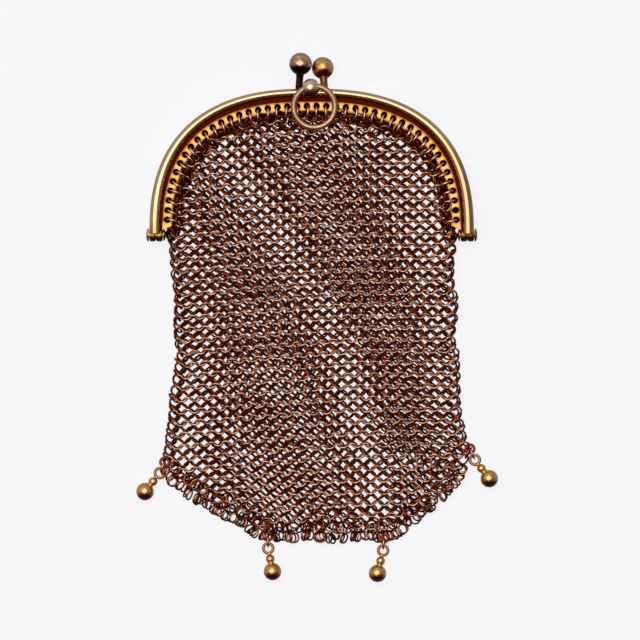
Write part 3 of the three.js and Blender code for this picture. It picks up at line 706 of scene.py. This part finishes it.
def crest_highlight_and_shade(rings, outwards, share):
    """Painted highlight for each point of wire rings, 0 to 1, with painted shade where it is low: the cube of
    how far it faces outwards (up or down the z axis) times the height of the wire there over its ring's
    middle, over a little wear all round, and all of it times the ring's share."""
    line = rings.mean(axis=2, keepdims=True)
    from_line = rings - line
    facing = from_line[..., 2] * outwards / np.linalg.norm(from_line, axis=-1)
    height = (line - line.mean(axis=1, keepdims=True))[..., 2] * outwards / mesh_ring_radius
    painted_light_and_wear = 0.15 + 0.85 * facing.clip(0) ** 3 * (0.55 + 0.9 * height).clip(0, 1)
    return (painted_light_and_wear * np.reshape(share, (-1, 1, 1))).clip(0, 1).ravel()


def ring_piece(name, courses):
    """One piece of the mesh from courses of wire rings, each with its wear and painted light."""
    return metal_piece(name, [(rings, True, True) for rings, painted_light_and_wear in courses], mesh_brown,
                       weld=False, wear_and_painted_light=np.concatenate([painted_light_and_wear for rings, painted_light_and_wear in courses]))


mesh_brown = worn_metal("rose brown mesh wire", (1.0, 0.86, 0.86), (0.96, 0.88, 0.62), 2.6, 0.3,
                        light_and_wear_tones=((0.045, 0.008, 0.004), (0.29, 0.050, 0.014), (0.50, 0.19, 0.09),
                                    (0.75, 0.41, 0.30), (0.97, 0.68, 0.58)))
chance = np.random.default_rng(11)
for side, front in both_sides:
    plan, odd, on_fold = knitted_rows(front)
    in_bow = plan[:, 1] > hinge_y
    inset = np.where(in_bow, bow_inset(plan), far_off)
    from_side, from_foot = edge_distance(plan)
    from_side = np.where(in_bow, far_off, from_side)
    keep = (from_side > side_margin) & (from_foot > foot_margin) & (inset > mouth_inset + mouth_margin)
    if front:
        keep = keep & ~on_fold
    plan, odd, inset = plan[keep], odd[keep], inset[keep]
    # Rings stray most by the mouth and the foot, and those by the folds turn down to meet them.
    slack = 0.6 + 1.9 * (1 - smooth_step((inset - mouth_inset) / 5))
    slack = slack + 2.2 * (1 - smooth_step((from_foot[keep] - 1.5) / 4.5))
    stray = chance.normal(size=(len(plan), 6)) * slack[:, None]
    plan = plan + 0.07 * stray[:, :2]
    centre = np.column_stack([plan, layer_height(plan, front) + 0.03 * stray[:, 2]])
    lean = np.where(odd, -mesh_lean, mesh_lean) + 0.09 * stray[:, 3]
    turn_down = edge_roll * (1 - smooth_step((from_side[keep] - 1.3) / 1.5)) * np.sign(plan[:, 0])
    roll = mesh_roll + (-turn_down if front else turn_down) + 0.07 * stray[:, 4]
    first, second = leaning_rings(lean, roll, 0.05 * stray[:, 5])
    share = chance.uniform(0.75, 1.1, len(plan))
    for part, here in (("upper", plan[:, 1] >= 3), ("lower", plan[:, 1] < 3)):
        rings = wire_rings(centre[here], first[here], second[here], mesh_ring_radius, mesh_wire,
                           ring_steps, wire_sides)
        # Crests facing out of the bag get the painted highlight; the back layer's side seen from above stays
        # in painted shade.
        painted_light_and_wear = crest_highlight_and_shade(rings, 1 if front else -1, share[here])
        piece = ring_piece(f"mesh_{side}_{part}", [(rings, painted_light_and_wear)])
        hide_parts("mesh_bag")

# The gathered course
# Just inside the flanges the rings are crowded onto the sewing rings, about four to a hole, so they stand
# steeply and close on each other. They are painted nearly black, tarnish together with painted shade under
# the flange.
# share sets each course's painted highlight; the low values paint the course nearly black as shade and
# tarnish.
gathers = (dict(inset=0.50, step=0.8, lean=70, sunk=0.45, share=0.12),
           dict(inset=1.25, step=1.0, lean=55, sunk=0.25, share=0.36))
corner_fill = 1.0
corner_height = 2.2
gathered_radius = 0.95 * mesh_ring_radius


def crowded_rings(front, inset, step, lean, sunk, share):
    """One crowded course along a flange: a ring every step, this far inside the flange's edge and sunk
    below the mesh's own height, leaning by turns in and out of the plane of the strip. At the hinges it
    closes in to fill the corner under the flange's end."""
    places = even_shares(flange_inner + inset, 0.1, step)
    above = bow_line(places, flange_inner + inset)[0][:, 1] - hinge_y
    closing = corner_fill * (1 - smooth_step(above / corner_height))
    plan, inward = bow_line(places, flange_inner + inset - closing)
    stray = chance.normal(size=(len(places), 4))
    plan = plan + 0.12 * stray[:, :2]
    steep = np.where(np.arange(len(places)) % 2, -1, 1) * np.radians(lean) + 0.2 * stray[:, 2]
    second = np.column_stack([inward * np.cos(steep)[:, None], np.sin(steep)])
    sideways = np.column_stack([-inward[:, 1], inward[:, 0], 0.25 * stray[:, 3]])
    first = unit(sideways - (sideways * second).sum(-1, keepdims=True) * second)
    level = layer_height(plan, front) + (-sunk if front else sunk)
    rings = wire_rings(np.column_stack([plan, level]), first, second, gathered_radius, mesh_wire,
                       ring_steps, wire_sides)
    return rings, crest_highlight_and_shade(rings, 1 if front else -1, share)


for side, front in both_sides:
    ring_piece(f"{side}_gathered_rings", [crowded_rings(front, **row) for row in gathers])

# The folded sides
# The mesh is knitted as a tube, so at each side the end rings of every other row go round the fold. They
# stand nearly on edge there, swung out towards the frame, and show as a row of notches.
fold_roll = np.radians(76)
fold_lean = np.radians(35)
fold_inset = 0.95
fold_lift = 0.08
# Strength of the fold rings' painted highlight over their painted shade.
fold_highlight_share = 0.6
fold_lowest = -28.5
fold_highest = hinge_y + 1.0
plan, _, on_fold = knitted_rows(True)
plan = plan[on_fold & (plan[:, 1] > fold_lowest) & (plan[:, 1] < fold_highest)]
outward = np.sign(plan[:, 0])
stray = chance.normal(size=(len(plan), 4))
plan[:, 0] -= outward * (fold_inset + 0.08 * stray[:, 0])
lean, roll = fold_lean + 0.12 * stray[:, 1], fold_roll + 0.10 * stray[:, 2]
second = np.stack([outward * np.sin(lean), np.cos(lean), 0 * lean], -1)
flat = np.stack([np.cos(lean), -outward * np.sin(lean), 0 * lean], -1)
first = np.cos(roll)[:, None] * flat - (outward * np.sin(roll))[:, None] * np.array([0, 0, 1.0])
fold_centres = np.column_stack([plan, np.full(len(plan), lip_height + fold_lift)])
fold_rings = wire_rings(fold_centres, first, second, mesh_ring_radius, mesh_wire, ring_steps, wire_sides)
ring_piece("side_fold_rings", [(fold_rings, crest_highlight_and_shade(fold_rings, 1, fold_highlight_share))])

# The fringe
# Along the foot a tight course closes front to back, and from it the last rings hang out on the table in
# pairs, each pair turned its own way.
fringe_courses = (dict(step=1.1, depth=1.8, uneven=0.8, turned=(0.5, 1.2), level=1.6, share=0.6, bunch=1),
                  dict(step=1.4, depth=-0.1, uneven=0.9, turned=(0.35, 1.15), level=1.1, share=1.0, bunch=2))
fringe_radius = 1.0
fringe_wire = 0.19
ring_to_ring = 0.5
foot_reach = 0.8
foot_end = 0.6
foot_x = np.linspace(foot_across[0], foot_across[-1], 2001) * bag_half_width
foot_line = np.column_stack([foot_x, foot_edge(foot_x)])
foot_run = np.concatenate([[0], np.hypot(*np.diff(foot_line, axis=0).T).cumsum()])


def hanging_rings(step, depth, uneven, turned, level, share, bunch):
    """Bunches of rings along the foot, one every step. Their middles lie at least the depth inside the
    foot's edge, or beyond it where that is below 0, and unevenly further in. A ring stands in the plane of
    up and its hanging direction and is turned about that direction towards flat, and the rings of a bunch
    lie side by side, nearly parallel."""
    run = np.arange(foot_reach, foot_run[-1] - foot_end, step)
    run = run + chance.uniform(-0.3, 0.3, len(run)) * step
    hang_stray, drop = chance.uniform(-0.5, 0.5, len(run)), chance.random(len(run))
    turn = chance.uniform(*turned, len(run)) * chance.choice([-1, 1], len(run))
    run, hang_stray, turn, drop = (np.repeat(values, bunch) for values in (run, hang_stray, turn, drop))
    number = np.tile(np.arange(bunch), len(run) // bunch) - (bunch - 1) / 2
    run = run + ring_to_ring * number + 0.12 * chance.normal(size=len(run))
    turn = turn + 0.15 * chance.normal(size=len(run))
    ahead, behind = (np.column_stack([np.interp(run + reach, foot_run, foot_line[:, k]) for k in (0, 1)])
                     for reach in (foot_reach, -foot_reach))
    foot = unit(ahead - behind)
    hang = np.arctan2(foot[:, 0], -foot[:, 1]) + hang_stray + 0.1 * chance.normal(size=len(run))
    hanging = np.column_stack([np.cos(hang), np.sin(hang), 0 * hang])
    sideways = np.column_stack([-np.sin(hang), np.cos(hang), 0 * hang])
    inside = depth + uneven * drop + 0.2 * chance.random(len(run))
    place = (ahead + behind) / 2 + hanging[:, :2] * inside[:, None]
    height = np.maximum(level, np.cos(turn) * fringe_radius + fringe_wire + lowest_wire)
    second = np.column_stack([0 * turn, 0 * turn, np.cos(turn)]) + np.sin(turn)[:, None] * sideways
    rings = wire_rings(np.column_stack([place, height]), hanging, second, fringe_radius, fringe_wire,
                       ring_steps, wire_sides)
    # Painted highlight on the rings' upward crests and painted shade below, dimmed at random ring by ring.
    return rings, crest_highlight_and_shade(rings, 1, share * chance.uniform(0.3, 1.2, len(run)))


ring_piece("foot_fringe_rings", [hanging_rings(**row) for row in fringe_courses])

# The sewing rings
# One ring through each hole of a flange, round its inner rim and through the gathered course. They stand
# on edge and lean the way the mesh pulls. One hole by the right hinge has lost its ring.
sewing_wire = 0.22
sewing_lean_left = -16
sewing_lean_right = 8
sewing_rim = 0.1
# Strength of the sewing rings' painted highlight along their top.
sewing_highlight_share = 1.7
front_sewing = (True, 1.15, flange_middle + 0.16)
back_sewing = (False, 1.0, frame_thickness - flange_middle)
sewing_courses = []
for front, radius, level in (front_sewing, back_sewing):
    centres = hole_shares()[0]
    centres = np.delete(centres, [len(centres) - 2]) if front else centres
    hole, inward = bow_line(centres, hole_inset)
    lean = np.radians(sewing_lean_left + (sewing_lean_right - sewing_lean_left) * centres)
    lean = lean + 0.06 * chance.normal(size=len(centres))
    pull = np.column_stack([inward[:, 0] * np.cos(lean) - inward[:, 1] * np.sin(lean),
                            inward[:, 0] * np.sin(lean) + inward[:, 1] * np.cos(lean)])
    tip = 0.16 * chance.normal(size=len(pull))
    first = np.column_stack([pull, np.zeros(len(pull))])
    second = np.column_stack([-pull[:, 1] * np.sin(tip), pull[:, 0] * np.sin(tip), np.cos(tip)])
    centre = np.column_stack([hole + pull * (radius - sewing_rim), np.full(len(hole), level)])
    rings = wire_rings(centre, first, second, radius, sewing_wire, 20, 8)
    sewing_courses.append((rings, crest_highlight_and_shade(rings, 1 if front else -1, sewing_highlight_share)))
ring_piece("sewing_rings", sewing_courses)

# The drops and their links
# At each corner a thick eyelet ends the mesh, a link stands in it, and a drop hangs on the link: a loop,
# a small ball, a collar and a large hollow ball, turned and soldered in one.
link_radius = 1.1
link_wire = 0.2
eyelet_radius = 0.85
eyelet_wire = 0.29
loop_radius = 0.97
loop_wire = 0.3
small_ball = 0.9
collar_radius = 0.62
collar_length = 0.36
large_ball = 1.75
eyelet_play = 0.15
loop_play = 0.1
table_clearance = 0.05
neck_radius = 0.34
eyelet_highlight_share = 0.5
loop_wear = 0.35
drop_rows = [
    dict(name="left", corner=(-0.990, 0.760), eyelet=170, link=-113.6, drop=-128.6),
    dict(name="foot_left", corner=(-0.307, 0.991), eyelet=-85, link=-88, drop=-79.3),
    dict(name="foot_right", corner=(0.497, 0.998), eyelet=-88, link=-92, drop=-104),
    dict(name="right", corner=(1.068, 0.717), eyelet=14, link=-65.8, drop=-52.6),
]


def plan_step(degrees):
    """A step of 1 mm along the table, this many degrees round from the x axis."""
    return np.array([np.cos(np.radians(degrees)), np.sin(np.radians(degrees)), 0])


def drop_profile():
    """Radius against distance from the loop's middle: a short neck, the small ball's arc, the collar with
    rounded rims, and the large ball's arc to its pole."""
    small_at = loop_radius + loop_wire + small_ball
    collar_at = small_at + small_ball
    large_at = collar_at + large_ball - collar_length / 4
    small_turn = np.radians(np.linspace(24, 140, 15))
    large_turn = np.radians(np.linspace(24, 180, 29))
    rim = 0.07
    near, far = collar_at - collar_length / 2, collar_at + collar_length / 2
    return np.array([
        (0, loop_radius), (neck_radius, loop_radius),
        *zip(small_ball * np.sin(small_turn), small_at - small_ball * np.cos(small_turn)),
        (collar_radius - rim, near), (collar_radius, near + rim),
        (collar_radius, far - rim), (collar_radius - rim, far),
        *zip(large_ball * np.sin(large_turn), large_at - large_ball * np.cos(large_turn)),
    ]), large_at


drop_gold = worn_metal("drop gold", (0.90, 0.53, 0.21), (0.72, 0.38, 0.13), 1.6, 0.2, 0.05,
                       light_and_wear_tones=((0.20, 0.05, 0.02), (0.62, 0.48, 0.36), (1.0, 1.0, 1.0)))
profile, large_at = drop_profile()
up = np.array([0, 0, 1.0])
eyelet_nets, eyelet_painted_light = [], []
for row in drop_rows:
    across_share, down_share = row["corner"]
    tip = np.array([across_share * bag_half_width, hinge_y - down_share * bag_length, lip_height])
    eyelet_at = tip + plan_step(row["eyelet"]) * eyelet_radius
    link_at = eyelet_at + plan_step(row["link"]) * (link_radius - eyelet_play)
    reach = link_radius + loop_radius - loop_wire - link_wire - loop_play
    loop_at = link_at + plan_step(row["link"]) * reach
    eyelet = wire_rings(eyelet_at, plan_step(0), plan_step(90), eyelet_radius, eyelet_wire, 40, 12)
    eyelet_nets.append((eyelet, True, True))
    # Painted highlight on the eyelet's upward crest and painted shade on its sides.
    eyelet_painted_light.append(crest_highlight_and_shade(eyelet, 1, eyelet_highlight_share))
    wire = wire_rings(link_at, plan_step(row["link"]), up, link_radius, link_wire, 40, 12)
    # The link gets the same painted highlight and shade.
    link = metal_piece(f"link_{row['name']}", [(wire, True, True)], mesh_brown,
                       wear_and_painted_light=crest_highlight_and_shade(wire, 1, 1.0))
    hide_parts(f"drop_link_{row['name']}")
    pitch = np.arcsin((large_ball + table_clearance - lip_height) / large_at)
    along = plan_step(row["drop"]) * np.cos(pitch) + up * np.sin(pitch)
    across = np.cross(up, plan_step(row["drop"]))
    loop = wire_rings(loop_at, along, across, loop_radius, loop_wire, 40, 12)
    balls = turned(profile, loop_at, along, 40)
    # Painted reflection: each ball is dark on its near (lower y) side and bright above.
    ball_painted_reflection = painted_light_by_y(balls, (loop_at + large_at * along)[1], large_ball, dark=-0.55, bright=0.10)
    pendant = metal_piece(f"ball_drop_{row['name']}", [(loop, True, True), (balls, False, True)],
                          drop_gold, corner_angle=60,
                          wear_and_painted_light=np.concatenate([np.full(loop.size // 3, loop_wear), ball_painted_reflection]))
    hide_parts(f"drop_{row['name']}")
eyelets = metal_piece("corner_eyelets", eyelet_nets, mesh_brown,
                      wear_and_painted_light=np.concatenate(eyelet_painted_light))
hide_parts("mesh_bag")

# The table and the light
# The purse lies on a pale table lit from below, so no shadow shows round it. A broad soft box hangs over
# it, the room is bright behind and to the left, and dark on the near side, as the balls show.
table_mesh = bpy.data.meshes.new("table")
table_mesh.from_pydata([(-4, -4, 0), (4, -4, 0), (4, 4, 0), (-4, 4, 0)], [], [(0, 1, 2, 3)])
table = bpy.data.objects.new("table", table_mesh)
bpy.context.scene.collection.objects.link(table)
pale = bpy.data.materials.new("pale lit table")
pale.use_nodes = True
nodes, links = pale.node_tree.nodes, pale.node_tree.links
pale_shader = nodes["Principled BSDF"]
pale_shader.inputs["Base Color"].default_value = (0.15, 0.15, 0.155, 1)
pale_shader.inputs["Roughness"].default_value = 0.9
pale_shader.inputs["Specular IOR Level"].default_value = 0.0
pale_shader.inputs["Emission Color"].default_value = (0.965, 0.97, 1.0, 1)
glow_in_metal, glow_to_camera = 0.26, 0.85
seen = nodes.new("ShaderNodeLightPath")
glow = ranged(pale.node_tree, seen.outputs["Is Camera Ray"], (0, 1), (glow_in_metal, glow_to_camera))
links.new(glow, pale_shader.inputs["Emission Strength"])
table_mesh.materials.append(pale)

world = bpy.data.worlds.new("studio")
bpy.context.scene.world = world
world.use_nodes = True
nodes, links = world.node_tree.nodes, world.node_tree.links
sky = nodes["Background"]
place = nodes.new("ShaderNodeTexCoord")
split = nodes.new("ShaderNodeSeparateXYZ")
links.new(place.outputs["Generated"], split.inputs["Vector"])
from_near = ranged(world.node_tree, split.outputs["Y"], (-1, 1), (0, 1))
room_tones = ((0.20, (0.09, 0.065, 0.045)), (0.40, (0.30, 0.27, 0.25)), (1.0, (0.55, 0.52, 0.50)))
links.new(toned(world.node_tree, from_near, room_tones), sky.inputs["Color"])
links.new(ranged(world.node_tree, split.outputs["X"], (1, -1), (0.65, 1.25)), sky.inputs["Strength"])
seen = nodes.new("ShaderNodeLightPath")
plain = nodes.new("ShaderNodeBackground")
plain.inputs["Color"].default_value = (0.90, 0.90, 0.93, 1)
choose = nodes.new("ShaderNodeMixShader")
links.new(seen.outputs["Is Camera Ray"], choose.inputs["Fac"])
links.new(sky.outputs["Background"], choose.inputs[1])
links.new(plain.outputs["Background"], choose.inputs[2])
links.new(choose.outputs["Shader"], nodes["World Output"].inputs["Surface"])

lamp = bpy.data.lights.new("overhead_soft_box", "AREA")
lamp.shape = "RECTANGLE"
lamp.size, lamp.size_y = 0.90, 0.80
lamp.energy = 4.2
lamp.color = (1.0, 0.97, 0.93)
soft_box = bpy.data.objects.new("overhead_soft_box", lamp)
bpy.context.scene.collection.objects.link(soft_box)
soft_box.location = (-0.12, 0.14, 0.80)
soft_box.rotation_euler = (Vector((0, 0.01, 0)) - soft_box.location).to_track_quat("-Z", "Y").to_euler()
soft_box.visible_camera = False

# The camera
# It looks straight down, as the photograph does; 640 pixels take in 128 mm at the height of the mesh.
view_width = 0.128
view_centre = (0.00166, 0.0)
mesh_level = 0.0025
camera_data = bpy.data.cameras.new("camera")
camera_data.lens = 240.0
camera_data.sensor_width = 36.0
camera = bpy.data.objects.new("camera", camera_data)
bpy.context.scene.collection.objects.link(camera)
camera.location = (*view_centre, mesh_level + view_width * camera_data.lens / camera_data.sensor_width)
bpy.context.scene.camera = camera
bpy.context.scene.view_settings.view_transform = "Standard"
